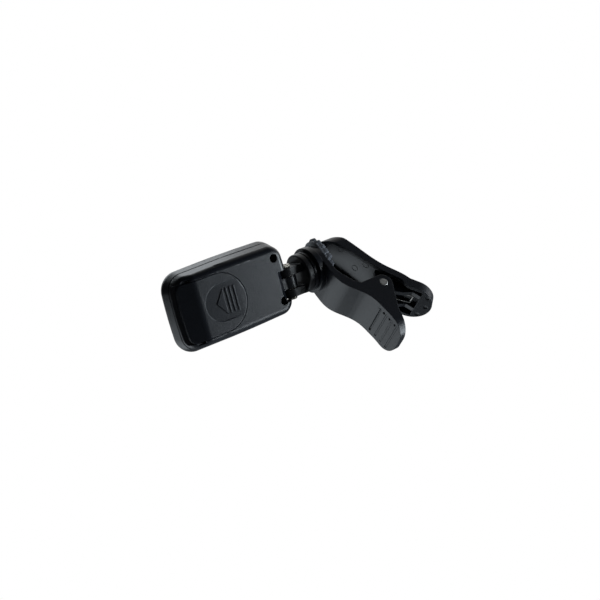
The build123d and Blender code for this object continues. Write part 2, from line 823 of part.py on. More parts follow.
# ======== near lever ========
def tangent_point(centre, radius, target, turn_sign):
    # where a line from `target` touches the circle
    away = hypot(target[0] - centre[0], target[1] - centre[1])
    angle = atan2(target[1] - centre[1], target[0] - centre[0]) + turn_sign * acos(radius / away)
    return (centre[0] + radius * cos(angle), centre[1] + radius * sin(angle))


def near_plan(inset):
    # the near lever seen square to the pad
    Circle(jaw_end_radius - inset)
    with Locations(((grip_end - grip_corner) / 2, 0)):
        RectangleRounded(grip_end + grip_corner - 2 * inset, clip_width - 2 * inset, grip_corner - inset)


near_back = [(14.8, 5.4), (20.4, 9.4), (25.8, 12.6), (31.0, 13.6), (grip_end + 1, 14.2)]
near_floor = [(9.8, 7.3), (13.9, 7.6), (19.5, 11.1), (24.9, 14.3), (30.1, 15.3), (grip_end, 15.8)]
grip_slope = (near_back[-1][1] - near_back[-2][1]) / (near_back[-1][0] - near_back[-2][0])
ear_top = tangent_point(pivot, near_ear_radius, near_ear_foot, 1)

with BuildPart() as near_channel:
    with BuildSketch(side):
        with BuildLine():
            Spline(*near_floor)
            Polyline(near_floor[-1], (grip_end, 30), (near_floor[0][0], 30), near_floor[0])
        make_face()
    extrude(amount=clip_width, both=True)
    with BuildSketch(plan):
        near_plan(side_wall)
    extrude(amount=40, mode=Mode.INTERSECT)

with BuildPart() as near_lever:
    with BuildSketch(side):
        with BuildLine():
            Polyline((-10, plate_inner), (-10, plate_outer), (9.5, plate_outer))
            Spline((9.5, plate_outer), *near_back, tangents=((1, 0), (1, 0)))
            Polyline(
                near_back[-1],
                (grip_end + 1, grip_rim),
                near_ear_foot,
                ear_top,
                pivot,
                (pivot[0] - near_ear_radius, pivot[1]),
                (pivot[0] - near_ear_radius, 12.6),
                (15.6, 10.4),
                (10.7, 7.7),
                (8.2, plate_inner),
                (-10, plate_inner),
            )
        make_face()
        with Locations(pivot):
            Circle(near_ear_radius)
    extrude(amount=clip_width, both=True)
    with BuildSketch(plan):
        near_plan(0)
    extrude(amount=40, mode=Mode.INTERSECT)
    with BuildSketch(stack.offset(collar_neck_end)):
        Circle(collar_base_radius)
    extrude(amount=plate_outer - collar_neck_end)
    with BuildSketch(stack.offset(collar_lip_end)):
        Circle(collar_neck_radius)
    extrude(amount=collar_neck_end - collar_lip_end)
    with BuildSketch(stack.offset(swivel_gap)):
        Circle(collar_lip_radius)
    extrude(amount=collar_lip_end - swivel_gap)
    add(near_channel.part, mode=Mode.SUBTRACT)
    with BuildSketch(side):
        with Locations(pivot):
            Circle(pin_radius + running)
    extrude(amount=clip_width, both=True, mode=Mode.SUBTRACT)
    with BuildSketch(stack):
        Circle(stem_radius + running)
    extrude(amount=plate_inner, mode=Mode.SUBTRACT)
    with BuildSketch(stack.offset(bearing_end)):
        Circle(counterbore_radius)
    extrude(amount=plate_inner, mode=Mode.SUBTRACT)
    with BuildSketch(side):
        for k in range(groove_count):
            at = groove_first + k * groove_pitch
            height = near_back[-2][1] + (at - near_back[-2][0]) * grip_slope
            with Locations((at, height)):
                Rectangle(groove_width, 2 * groove_depth)
    extrude(amount=clip_width / 2 - side_wall, both=True, mode=Mode.SUBTRACT)
save(near_lever.part, "near_lever")

with BuildPart() as jaw_pad:
    with BuildSketch(plan.offset(plate_inner)):
        with Locations((pad_middle, 0)):
            RectangleRounded(pad_length, pad_width, pad_corner)
    extrude(amount=pad_face - plate_inner)
    fillet(jaw_pad.faces().sort_by(towards_clip)[-1].edges(), radius=pad_edge)
save(jaw_pad.part, "jaw_pad")

with BuildPart() as pivot_pin:
    with BuildSketch(side):
        with Locations(pivot):
            Circle(pin_radius)
    extrude(amount=clip_width / 2 + pin_proud, both=True)
    chamfer(pivot_pin.edges().filter_by(GeomType.CIRCLE), length=0.15)
save(pivot_pin.part, "pivot_pin")


# ======== far lever ========
def on_handle(run, height):
    # a point measured along the far handle and square to it, in the side plane's own axes
    return (run * cos(lean) - height * sin(lean), run * sin(lean) + height * cos(lean))


far_back = [(-3.6, 19.4), (3.2, 22.2), (9.4, 24.5), (15.4, 27.6), (20.7, 31.3)]
far_floor = [(-2.9, 17.8), (3.95, 20.8), (10.15, 23.1), (16.25, 26.25), (21.7, 30.05)]
far_rim_line = [(22.8, 29.2), (17.2, 25.1), (11.0, 21.7), (4.8, 18.8), (-2.4, 15.0)]
handle_back = on_handle(handle_length, far_back_height)
handle_front = on_handle(handle_length, far_back_height - far_rim)
skin_height = far_back_height - far_skin

with BuildPart() as far_hollow:
    with BuildSketch(side):
        with BuildLine():
            Polyline(
                (far_tip + far_wall, 5),
                (far_tip + far_wall, 15.7),
                *far_floor,
                on_handle(pocket_end - 6, skin_height),
                on_handle(pocket_end, skin_height),
                on_handle(pocket_end, -5),
                (45, 5),
                close=True,
            )
        make_face()
    extrude(amount=clip_width, both=True)
    with BuildSketch(plan):
        with Locations((far_tip + far_wall + 45, 0)):
            RectangleRounded(90, clip_width - 2 * far_wall, far_tip_corner - far_wall)
    extrude(amount=70, mode=Mode.INTERSECT)

with BuildPart() as far_lever:
    with BuildSketch(side):
        with BuildLine():
            Polyline((far_tip, far_tip_foot), (far_tip, 15.8), far_back[0])
            Spline(*far_back, on_handle(40.0, far_back_height))
            Polyline(
                on_handle(40.0, far_back_height),
                handle_back,
                handle_front,
                on_handle(40.0, far_back_height - far_rim),
                *far_rim_line,
                (far_tip + far_wall, far_tip_foot),
                (far_tip, far_tip_foot),
            )
        make_face()
    extrude(amount=clip_width / 2, both=True)
    with BuildSketch(plan):
        with Locations((far_tip + 45, 0)):
            RectangleRounded(90, clip_width, far_tip_corner)
    extrude(amount=70, mode=Mode.INTERSECT)
    with BuildSketch(handle.offset(-60)):
        with Locations((handle_length - clip_width / 2, 0)):
            Circle(clip_width / 2)
        with Locations((handle_length - clip_width / 2 - 40, 0)):
            Rectangle(80, clip_width)
    extrude(amount=120, mode=Mode.INTERSECT)
    add(far_hollow.part, mode=Mode.SUBTRACT)
    for k in both_sides:
        with BuildSketch(side.offset(k * web_gap / 2)):
            with BuildLine():
                Polyline(
                    (12.8, 25.1),
                    (16.0, 27.1),
                    (21.2, 30.7),
                    on_handle(pocket_end - 2, skin_height + 0.8),
                    on_handle(pocket_end + 0.8, skin_height + 0.5),
                    on_handle(pocket_end + 0.6, far_back_height - far_rim + 0.1),
                    (28.5, 32.9),
                    (27.0, 29.0),
                    (23.3, 23.2),
                    pivot,
                    (pivot[0] - web_boss_radius, pivot[1]),
                    close=True,
                )
            make_face()
            with Locations(pivot):
                Circle(web_boss_radius)
        extrude(amount=k * web_thickness)
    with BuildSketch(side):
        with Locations(pivot):
            Circle(pin_radius + running)
    extrude(amount=clip_width, both=True, mode=Mode.SUBTRACT)
save(far_lever.part, "far_lever")

# ======== torsion spring round the pin ========
coil_radius = pin_radius + coil_clearance + wire_radius
outer_turn = coil_pitch * (coil_turns - 1) / 2
bridge = on_handle(bridge_along, skin_height - wire_radius - running)
near_foot = (30.0, 16.2)


def wire(start, end):
    first = side.from_local_coords(start)
    last = side.from_local_coords(end)
    way = last - first
    with BuildSketch(Plane(origin=first, z_dir=way)) as section:
        Circle(wire_radius)
    extrude(section.sketch, amount=way.length)


pin_middle = side.from_local_coords((pivot[0], pivot[1], 0))
with BuildPart() as torsion_spring:
    with BuildSketch(Plane(origin=pin_middle, x_dir=along, z_dir=swivel * -1)):
        for k in range(coil_turns):
            with Locations((coil_radius, coil_pitch * (k - (coil_turns - 1) / 2))):
                Circle(wire_radius)
    revolve(axis=Axis(pin_middle, pin_way), revolution_arc=360)
    leg_start = tangent_point(pivot, coil_radius - leg_inset, bridge, 1)
    near_start = tangent_point(pivot, coil_radius - leg_inset, near_foot, -1)
    for k in both_sides:
        wire((*leg_start, k * outer_turn), (*bridge, k * outer_turn))
        wire((*near_start, k * coil_pitch / 2), (*near_foot, k * coil_pitch / 2))
        with Locations(side.from_local_coords((*bridge, k * outer_turn))):
            Sphere(wire_radius)
    wire((*bridge, -outer_turn), (*bridge, outer_turn))
save(torsion_spring.part, "torsion_spring")
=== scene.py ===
import json
import math

import bmesh
import bpy
from mathutils import Matrix, Vector
from mathutils.bvhtree import BVHTree


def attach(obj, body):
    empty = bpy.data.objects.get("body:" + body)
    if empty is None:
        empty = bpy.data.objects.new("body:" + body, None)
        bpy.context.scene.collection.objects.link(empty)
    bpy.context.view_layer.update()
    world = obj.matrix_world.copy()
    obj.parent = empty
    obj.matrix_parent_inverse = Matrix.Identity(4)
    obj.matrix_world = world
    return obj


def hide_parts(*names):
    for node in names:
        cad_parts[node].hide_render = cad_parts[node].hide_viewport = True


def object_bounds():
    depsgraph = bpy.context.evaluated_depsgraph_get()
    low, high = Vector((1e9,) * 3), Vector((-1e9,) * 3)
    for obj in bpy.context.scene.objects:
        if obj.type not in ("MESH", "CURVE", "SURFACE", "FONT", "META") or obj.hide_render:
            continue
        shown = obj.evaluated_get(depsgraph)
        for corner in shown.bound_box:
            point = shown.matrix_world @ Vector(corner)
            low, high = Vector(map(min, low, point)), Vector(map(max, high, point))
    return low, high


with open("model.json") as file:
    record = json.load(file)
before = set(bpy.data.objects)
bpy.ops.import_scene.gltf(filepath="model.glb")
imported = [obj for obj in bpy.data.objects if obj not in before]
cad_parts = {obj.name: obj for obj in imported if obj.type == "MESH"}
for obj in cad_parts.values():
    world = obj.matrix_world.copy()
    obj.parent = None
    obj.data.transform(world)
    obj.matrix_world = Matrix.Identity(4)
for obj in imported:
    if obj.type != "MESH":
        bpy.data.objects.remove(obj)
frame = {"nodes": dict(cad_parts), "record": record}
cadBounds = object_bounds()
print("frame loaded:", len(frame["nodes"]), "nodes")

mm = 0.001
bodyOf = {}
for body, members in frame["record"]["behaviour"]["bodies"].items():
    for member in members:
        bodyOf[member] = body

# the object's own directions: the clip is turned about the swivel axis, the head stands upright
clip = {"turn": math.radians(50.0), "grooveX": -10.4, "pinAlong": 21.3, "pinOff": 21.5,
        "handleLean": math.radians(41.0)}
head = {"hingeX": -18.1, "rise": 1.9}
alongJaw = Vector((0, -math.cos(clip["turn"]), -math.sin(clip["turn"])))   # jaw to handles
pinWay = Vector((0, -math.sin(clip["turn"]), math.cos(clip["turn"])))      # along the pivot pin
swivelWay = Vector((1, 0, 0))


# ---- small helpers ----

def placeFrame(first, second, third, origin):
    # matrix that takes millimetres in a local frame to metres in the object's frame
    turned = Matrix((first, second, third)).transposed().to_4x4()
    return Matrix.Translation(Vector(origin) * mm) @ turned @ Matrix.Scale(mm, 4)


# local x, y, z in the clip: along the pin, along the jaw, off the groove towards the pad
clipFrame = placeFrame(pinWay, alongJaw, swivelWay, (clip["grooveX"], 0, 0))
# local x, y, z in the head: towards the hinge, up, out of the back
headFrame = placeFrame(Vector((1, 0, 0)), Vector((0, 0, 1)), Vector((0, -1, 0)),
                       (head["hingeX"], 0, head["rise"]))


def hexToLinear(code, alpha=1.0):
    code = code.lstrip("#")
    channels = []
    for start in (0, 2, 4):
        value = int(code[start:start + 2], 16) / 255
        channels.append(value / 12.92 if value <= 0.04045 else ((value + 0.055) / 1.055) ** 2.4)
    return (*channels, alpha)


def addNode(tree, kind, inputs=None, links=None, **settings):
    # one node: settings are its own properties, inputs are values, links are sockets feeding it
    node = tree.nodes.new(kind)
    for key, value in settings.items():
        setattr(node, key, value)
    for key, value in (inputs or {}).items():
        node.inputs[key].default_value = value
    for key, socket in (links or {}).items():
        tree.links.new(socket, node.inputs[key])
    return node


def newMaterial(name):
    material = bpy.data.materials.new(name)
    material.use_nodes = True
    material.node_tree.nodes.clear()
    return material, material.node_tree


def dress(obj, material):
    obj.data.materials.clear()
    obj.data.materials.append(material)


def newObject(name, mesh, smooth=True):
    obj = bpy.data.objects.new(name, mesh)
    bpy.context.scene.collection.objects.link(obj)
    for polygon in mesh.polygons:
        polygon.use_smooth = smooth
    return obj


def takeMesh(work, name):
    mesh = bpy.data.meshes.new(name)
    work.to_mesh(mesh)
    work.free()
    return mesh


def evaluatedMesh(obj):
    graph = bpy.context.evaluated_depsgraph_get()
    return bpy.data.meshes.new_from_object(obj.evaluated_get(graph))


def settle(obj, matrix=None):
    # modifiers become plain mesh, and the piece's place goes into its vertices
    mesh = evaluatedMesh(obj)
    obj.modifiers.clear()
    if matrix is not None:
        mesh.transform(matrix)
    obj.data = mesh
    return obj


def ridePiece(obj, body, replaces=()):
    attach(obj, body)
    if replaces:
        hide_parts(*replaces)
    return obj


def roundEdges(obj, width):
    bevel = obj.modifiers.new("brokenEdges", "BEVEL")
    bevel.width = width
    bevel.segments = 2
    bevel.limit_method = "ANGLE"
    bevel.angle_limit = math.radians(32.0)      # flatter joins belong to curved walls
    bevel.use_clamp_overlap = True
    bevel.harden_normals = True
    flatten = obj.modifiers.new("flatFaces", "WEIGHTED_NORMAL")
    flatten.keep_sharp = True


def skinRings(work, rings):
    # closes a stack of equal rings of vertices into a solid
    for low, high in zip(rings, rings[1:]):
        for k in range(len(low)):
            m = (k + 1) % len(low)
            work.faces.new((low[k], low[m], high[m], high[k]))
    work.faces.new(rings[0][::-1])
    work.faces.new(rings[-1])
    bmesh.ops.recalc_face_normals(work, faces=work.faces)


def geometryTree(name, floats):
    # an empty Geometry Nodes tree with a Count and named sizes as inputs
    tree = bpy.data.node_groups.new(name, "GeometryNodeTree")
    add = tree.interface.new_socket
    add("Geometry", in_out="INPUT", socket_type="NodeSocketGeometry")
    add("Geometry", in_out="OUTPUT", socket_type="NodeSocketGeometry")
    sockets = {"Count": add("Count", in_out="INPUT", socket_type="NodeSocketInt")}
    for label in floats:
        sockets[label] = add(label, in_out="INPUT", socket_type="NodeSocketFloat")
    return tree, sockets


def finishTree(tree, instances, material):
    solid = addNode(tree, "GeometryNodeRealizeInstances", {}, {"Geometry": instances})
    finish = addNode(tree, "GeometryNodeSetMaterial", {"Material": material},
                     {"Geometry": solid.outputs["Geometry"]})
    addNode(tree, "NodeGroupOutput", {}, {"Geometry": finish.outputs["Geometry"]})


def useTree(obj, tree, sockets, sizes):
    modifier = obj.modifiers.new(tree.name, "NODES")
    modifier.node_group = tree
    for label, value in sizes.items():
        modifier[sockets[label].identifier] = value


def repeatArc(name, mesh, sizes, material):
    # copies of one small mesh spaced along an arc, turned to follow it
    obj = newObject(name, mesh, smooth=False)
    tree, sockets = geometryTree(name + "Arc", ("Radius", "Start", "Sweep"))
    given = addNode(tree, "NodeGroupInput").outputs
    arc = addNode(tree, "GeometryNodeCurveArc", {"Resolution": 128},
                  {"Radius": given["Radius"], "Start Angle": given["Start"],
                   "Sweep Angle": given["Sweep"]})
    spots = addNode(tree, "GeometryNodeCurveToPoints", {},
                    {"Curve": arc.outputs["Curve"], "Count": given["Count"]})
    copies = addNode(tree, "GeometryNodeInstanceOnPoints", {},
                     {"Points": spots.outputs["Points"], "Instance": given["Geometry"],
                      "Rotation": spots.outputs["Rotation"]})
    finishTree(tree, copies.outputs["Instances"], material)
    useTree(obj, tree, sockets, sizes)
    return obj


def ringMesh(profile, steps=32):
    # a closed profile of (radius, height) points turned round local z
    work = bmesh.new()
    rings = []
    for radius, height in profile:
        turns = [2 * math.pi * k / steps for k in range(steps)]
        rings.append([work.verts.new((radius * math.cos(turn), radius * math.sin(turn), height))
                      for turn in turns])
    for low, high in zip(rings, rings[1:]):
        for k in range(steps):
            m = (k + 1) % steps
            work.faces.new((low[k], low[m], high[m], high[k]))
    bmesh.ops.recalc_face_normals(work, faces=work.faces)
    return takeMesh(work, "turned")


# ---- materials ----

def objectPlace(tree):
    return addNode(tree, "ShaderNodeTexCoord").outputs["Object"]


def perMm(size):
    # texture scale, in cells per metre, for a pattern whose cells are `size` millimetres across
    return 1.0 / (size * mm)


def noiseOf(tree, place, size, detail, **more):
    inputs = {"Scale": perMm(size), "Detail": detail, **more}
    return addNode(tree, "ShaderNodeTexNoise", inputs, {"Vector": place}).outputs["Fac"]


def mixColour(tree, factor, first, second):
    # colour mix that takes sockets or plain colours
    node = tree.nodes.new("ShaderNodeMix")
    node.data_type = "RGBA"
    tree.links.new(factor, node.inputs[0])
    for index, value in ((6, first), (7, second)):
        if isinstance(value, tuple):
            node.inputs[index].default_value = value
        else:
            tree.links.new(value, node.inputs[index])
    return node.outputs[2]


def toneOf(tree, factor, settings, low="dark", high="light"):
    return mixColour(tree, factor, hexToLinear(settings[low]), hexToLinear(settings[high]))


def roughOf(tree, factor, settings, smoother, rougher, span=(0.3, 0.7)):
    # roughness that varies with a pattern, a little each side of the material's own
    ends = {"From Min": span[0], "From Max": span[1],
            "To Min": settings["rough"] - smoother, "To Max": settings["rough"] + rougher}
    return addNode(tree, "ShaderNodeMapRange", ends, {"Value": factor}).outputs["Result"]


def bumpOf(tree, height, strength, depth, rounded=None):
    links = {"Height": height}
    if rounded:
        links["Normal"] = rounded.outputs["Normal"]
    inputs = {"Strength": strength, "Distance": depth * mm}
    return addNode(tree, "ShaderNodeBump", inputs, links).outputs["Normal"]


def closeMaterial(tree, inputs, links):
    shader = addNode(tree, "ShaderNodeBsdfPrincipled", inputs, links)
    addNode(tree, "ShaderNodeOutputMaterial", {}, {"Surface": shader.outputs["BSDF"]})


def mouldedPlastic(name, settings):
    # ABS from a spark-eroded steel mould: an even satin skin with a fine grain,
    # soft flow clouds, and a painted highlight that makes rounded edges a little lighter
    material, tree = newMaterial(name)
    place = objectPlace(tree)
    grainMm = settings["grainMm"]
    grain = noiseOf(tree, place, grainMm, 3.0, Roughness=0.6)
    clouds = noiseOf(tree, place, settings["cloudMm"], 2.0)
    specks = addNode(tree, "ShaderNodeTexVoronoi", {"Scale": perMm(grainMm * 1.7)},
                     {"Vector": place})
    rounded = addNode(tree, "ShaderNodeBevel", {"Radius": settings["edgeMm"] * mm}, samples=4)
    flat = addNode(tree, "ShaderNodeNewGeometry")
    facing = addNode(tree, "ShaderNodeVectorMath", {},
                     {0: rounded.outputs["Normal"], 1: flat.outputs["Normal"]},
                     operation="DOT_PRODUCT")
    # painted highlight: the colour goes lighter where the rounded-edge normal turns away from the
    # flat one, in patches set by the clouds, standing in for light caught on rounded edges
    edge = addNode(tree, "ShaderNodeMapRange",
                   {"From Min": 0.995, "From Max": 0.86, "To Min": 0.0, "To Max": 1.0},
                   {"Value": facing.outputs["Value"]})
    edgeHighlightShare = addNode(tree, "ShaderNodeMath", {}, {0: edge.outputs["Result"], 1: clouds},
                  operation="MULTIPLY")
    tone = toneOf(tree, clouds, settings)
    toneWithEdgeHighlight = mixColour(tree, edgeHighlightShare.outputs["Value"], tone, hexToLinear(settings["edge"]))
    height = addNode(tree, "ShaderNodeMath", {}, {0: grain, 1: specks.outputs["Distance"]},
                     operation="ADD")
    closeMaterial(tree, {"IOR": 1.52, "Metallic": 0.0},
                  {"Base Color": toneWithEdgeHighlight, "Roughness": roughOf(tree, grain, settings, 0.05, 0.06),
                   "Normal": bumpOf(tree, height.outputs["Value"], settings["bump"],
                                    grainMm * 0.25, rounded)})
    return material


def platedMetal(name, settings):
    # turned or pressed metal with a thin plating: bright, with fine tool lines and faint stains
    material, tree = newMaterial(name)
    place = objectPlace(tree)
    lines = noiseOf(tree, place, 0.12, 2.0)
    stains = noiseOf(tree, place, 1.6, 4.0)
    rounded = addNode(tree, "ShaderNodeBevel", {"Radius": 0.08 * mm}, samples=4)
    closeMaterial(tree, {"Metallic": 1.0},
                  {"Base Color": toneOf(tree, stains, settings),
                   "Roughness": roughOf(tree, stains, settings, 0.06, 0.08),
                   "Normal": bumpOf(tree, lines, 0.15, 0.02, rounded)})
    return material


def mouldedRubber(name, settings):
    # compression-moulded rubber: matt, slightly dusty, with a fine pebbled skin
    material, tree = newMaterial(name)
    place = objectPlace(tree)
    pebble = noiseOf(tree, place, 0.35, 4.0, Roughness=0.65)
    dust = noiseOf(tree, place, 3.5, 3.0)
    closeMaterial(tree, {"IOR": 1.5, "Sheen Weight": 0.15, "Sheen Roughness": 0.5},
                  {"Base Color": toneOf(tree, dust, settings),
                   "Roughness": roughOf(tree, pebble, settings, 0.06, 0.06),
                   "Normal": bumpOf(tree, pebble, 0.3, 0.06)})
    return material


def solderMaskBoard(name, settings):
    # glass-epoxy board under green solder mask: a glossy film over raised copper tracks
    material, tree = newMaterial(name)
    place = objectPlace(tree)
    tracks = addNode(tree, "ShaderNodeTexBrick",
                     {"Scale": perMm(4.0), "Mortar Size": 0.05, "Brick Width": 0.8,
                      "Row Height": 0.3}, {"Vector": place}).outputs["Fac"]
    weave = noiseOf(tree, place, 0.4, 2.0)
    closeMaterial(tree, {"IOR": 1.55},
                  {"Base Color": toneOf(tree, tracks, settings, "mask", "track"),
                   "Roughness": roughOf(tree, weave, settings, 0.05, 0.1, span=(0.0, 1.0)),
                   "Normal": bumpOf(tree, tracks, 0.4, 0.03)})
    return material


def clearSheet(name, settings):
    # clear cast acrylic or display glass: polished, tinted, with faint wiping marks
    material, tree = newMaterial(name)
    wipes = noiseOf(tree, objectPlace(tree), 2.5, 5.0)
    closeMaterial(tree, {"IOR": 1.49, "Transmission Weight": settings["clear"]},
                  {"Base Color": toneOf(tree, wipes, settings),
                   "Roughness": roughOf(tree, wipes, settings, 0.0, 0.06, span=(0.0, 1.0))})
    return material


# the edge colour is a painted highlight laid along rounded edges
plasticFinish = {"dark": "#0f131a", "light": "#151a23", "edge": "#2b323f", "rough": 0.3,
                 "grainMm": 0.16, "cloudMm": 14.0, "bump": 0.25, "edgeMm": 0.35}


def plasticLike(name, **changed):
    return mouldedPlastic(name, {**plasticFinish, **changed})


housingAbs = plasticLike("mouldedAbsHousing")
leverAbs = plasticLike("mouldedAbsLever", rough=0.34)
forkNylon = plasticLike("mouldedNylonFork", dark="#0c0e13", light="#10131a", rough=0.42)
lugAcetal = plasticLike("mouldedAcetalLug", dark="#1b1e23", light="#23272d")
# the washer gets its own lighter painted edge highlight
washerNylon = plasticLike("mouldedNylonWasher", dark="#b9b6aa", light="#cfccc1", edge="#dedbd2",
                          rough=0.45)
chipEpoxy = plasticLike("transferMouldedEpoxy", dark="#16171a", light="#1e1f22", rough=0.5)
# the diffuser gets its own lighter painted edge highlight
diffuserAcrylic = plasticLike("milkyAcrylicDiffuser", dark="#d5d8d4", light="#e3e5e1",
                              edge="#eef0ec", rough=0.4)


def rubberOf(name, dark, light, rough):
    return mouldedRubber(name, {"dark": dark, "light": light, "rough": rough})


padRubber = rubberOf("mouldedRubberPad", "#6a6f78", "#757a83", 0.55)
buttonRubber = rubberOf("mouldedRubberButton", "#1d1f22", "#26292d", 0.6)
stripRubber = rubberOf("conductiveSiliconeStrip", "#b58c8c", "#cfa9a7", 0.55)
inkBlack = rubberOf("screenPrintedInk", "#0d0f10", "#141617", 0.5)


def metalOf(name, dark, light, rough):
    return platedMetal(name, {"dark": dark, "light": light, "rough": rough})


nickelSteel = metalOf("nickelPlatedSteel", "#8f8a80", "#bdb8ad", 0.24)
brightSteel = metalOf("groundSteel", "#c4c4c1", "#ececea", 0.42)
springSteel = metalOf("drawnSpringWire", "#9c9a96", "#c3c0ba", 0.24)
blackScrew = metalOf("blackOxideSteel", "#1d1e20", "#2c2d30", 0.38)
cellSteel = metalOf("stampedStainlessSteel", "#a9aaa8", "#cfd0ce", 0.28)
piezoBrass = metalOf("rolledBrassDisc", "#a8853d", "#cdab5f", 0.3)

boardEpoxy = solderMaskBoard("solderMaskBoard",
                             {"mask": "#0e3a1f", "track": "#1d5a33", "rough": 0.3})
windowAcrylic = clearSheet("castAcrylicWindow",
                           {"dark": "#c9ced3", "light": "#e4e7ea", "rough": 0.03, "clear": 1.0})
displayGlass = clearSheet("reflectiveDisplayGlass",
                          {"dark": "#59625a", "light": "#6d766c", "rough": 0.12, "clear": 0.0})
print("materials made")

# every CAD node gets its finish; the visible ones are then replaced by softer-edged pieces
nodeFinish = {
    "front_housing": housingAbs, "rear_cover": housingAbs, "battery_door": housingAbs,
    "swivel_fork": forkNylon, "near_lever": leverAbs, "far_lever": leverAbs,
    "hinge_lug": lugAcetal, "jaw_pad": padRubber, "power_button": buttonRubber,
    "mode_button": buttonRubber, "elastomer_strip": stripRubber, "hinge_nut": nickelSteel,
    "hinge_bolt": nickelSteel, "hinge_washers": washerNylon, "pivot_pin": brightSteel,
    "torsion_spring": springSteel, "wave_washer": springSteel, "retainer_washer": brightSteel,
    "swivel_screw": brightSteel, "housing_screws": blackScrew, "board_screws": brightSteel,
    "battery_contact_positive": nickelSteel, "battery_contact_negative": nickelSteel,
    "coin_cell": cellSteel, "piezo_sensor": piezoBrass, "circuit_board": boardEpoxy,
    "controller_chip": chipEpoxy, "button_switches": chipEpoxy, "lcd_module": displayGlass,
    "backlight_diffuser": diffuserAcrylic, "display_window": windowAcrylic,
}
for name, node in frame["nodes"].items():
    dress(node, nodeFinish[name])


# ---- moulded shells and levers: the CAD shapes with their sharp edges broken ----

mergeDistance = 0.002 * mm
flatWithin = math.radians(1.0)


def softCopy(name, width, cutters=()):
    # a merged copy of a CAD node, pocketed by the cutters, its sharp edges rounded by `width` mm
    mesh = frame["nodes"][name].data.copy()
    work = bmesh.new()
    work.from_mesh(mesh)
    bmesh.ops.remove_doubles(work, verts=work.verts, dist=mergeDistance)
    if name not in keptFaces:
        bmesh.ops.dissolve_limit(work, angle_limit=flatWithin, verts=work.verts,
                                 edges=work.edges, delimit={"NORMAL"})
    work.to_mesh(mesh)
    work.free()
    copy = newObject(name + "_finished", mesh)
    for cutter in cutters:
        pocket = copy.modifiers.new("pocket", "BOOLEAN")
        pocket.operation = "DIFFERENCE"
        pocket.solver = "EXACT"
        pocket.object = cutter
    roundEdges(copy, width * mm)
    settle(copy)
    for polygon in copy.data.polygons:
        polygon.use_smooth = True
    dress(copy, nodeFinish[name])
    return copy


def pocketCutter(name, spots, pocket, place):
    # shallow round pockets, centred on `spots`, sunk along local -z, in millimetres in `place`
    work = bmesh.new()
    for spot in spots:
        ring = bmesh.ops.create_cone(work, cap_ends=True, segments=20,
                                     radius1=pocket["radius"] * 0.8, radius2=pocket["radius"],
                                     depth=2 * pocket["depth"])
        bmesh.ops.translate(work, verts=ring["verts"], vec=spot)
    mesh = takeMesh(work, name)
    mesh.transform(place)
    return newObject(name, mesh, smooth=False)


lean = clip["handleLean"]
handleWay = alongJaw * math.cos(lean) + swivelWay * math.sin(lean)
handleOut = swivelWay * math.cos(lean) - alongJaw * math.sin(lean)
handleFrame = placeFrame(pinWay, handleWay, handleOut, (clip["grooveX"], 0, 0))
outerSide = Matrix.Rotation(math.pi, 4, "Y")       # grip and handle are pocketed from outside

gripDots = {"across": 6.4, "along": (29.2, 32.3, 35.4, 38.5), "off": 13.95, "radius": 0.55,
            "depth": 0.5}
dotSpots = [(-gripDots["across"], t, -gripDots["off"]) for t in gripDots["along"]]
gripCutter = pocketCutter("gripDotCutter", dotSpots, gripDots, clipFrame @ outerSide)

handleMarks = {"spots": ((5.4, 49.0, 5.0), (0.2, 50.2, 5.0), (-5.2, 48.8, 5.0)),
               "radius": 1.15, "depth": 0.3}
markSpots = [(-w, run, -high) for w, run, high in handleMarks["spots"]]
handleCutter = pocketCutter("handleMarkCutter", markSpots, handleMarks, handleFrame @ outerSide)

keptFaces = ("battery_door",)      # its hollowed faces do not join into flat ones
brokenEdges = {
    "front_housing": 0.12, "rear_cover": 0.16, "battery_door": 0.12, "swivel_fork": 0.2,
    "near_lever": 0.3, "far_lever": 0.28, "hinge_lug": 0.25, "hinge_nut": 0.22,
    "hinge_bolt": 0.15, "pivot_pin": 0.12, "housing_screws": 0.08, "hinge_washers": 0.06,
    "power_button": 0.1, "mode_button": 0.1,
}
pockets = {"near_lever": (gripCutter,), "far_lever": (handleCutter,)}
for name, width in brokenEdges.items():
    piece = softCopy(name, width, pockets.get(name, ()))
    ridePiece(piece, bodyOf[name], replaces=(name,))
for cutter in (gripCutter, handleCutter):
    bpy.data.objects.remove(cutter)
print("moulded pieces finished")


# ---- jaw pad: a rubber block with rounded ribs across the jaw ----

jawPad = {"length": 14.2, "width": 16.0, "corner": 5.3, "middle": -2.3, "root": 8.3,
          "top": 10.4, "pitch": 2.35, "ribWidth": 2.14, "count": 6, "sunk": 0.4, "inset": 0.02,
          "sideFullness": 0.3, "topFullness": 0.35,
          # share of the rib's half length, and its height there
          "stations": ((-1.0, 0.84), (-0.99, 0.94), (-0.97, 0.99), (-0.94, 1.0),
                       (0.94, 1.0), (0.97, 0.99), (0.99, 0.94), (1.0, 0.84)),
          # inset of the slab's plan, and the height above the ribs' root that it holds at
          "layers": ((0.0, -1.4), (0.0, -0.3), (0.12, 0.0), (0.45, 0.15))}


def ribMesh(segments=10):
    # one rib of unit half length along x, round on top, with softened ends
    half = jawPad["ribWidth"] / 2
    rise = jawPad["top"] - jawPad["root"]
    profile = [(-half, -jawPad["sunk"])]
    for k in range(segments + 1):
        turn = math.pi * (1 - k / segments)
        across = math.copysign(abs(math.cos(turn)) ** jawPad["sideFullness"], math.cos(turn))
        profile.append((half * across, rise * math.sin(turn) ** jawPad["topFullness"]))
    profile.append((half, -jawPad["sunk"]))
    work = bmesh.new()
    rings = [[work.verts.new((x, y * (0.5 + 0.5 * size), z * size)) for y, z in profile]
             for x, size in jawPad["stations"]]
    skinRings(work, rings)
    return takeMesh(work, "padRib")


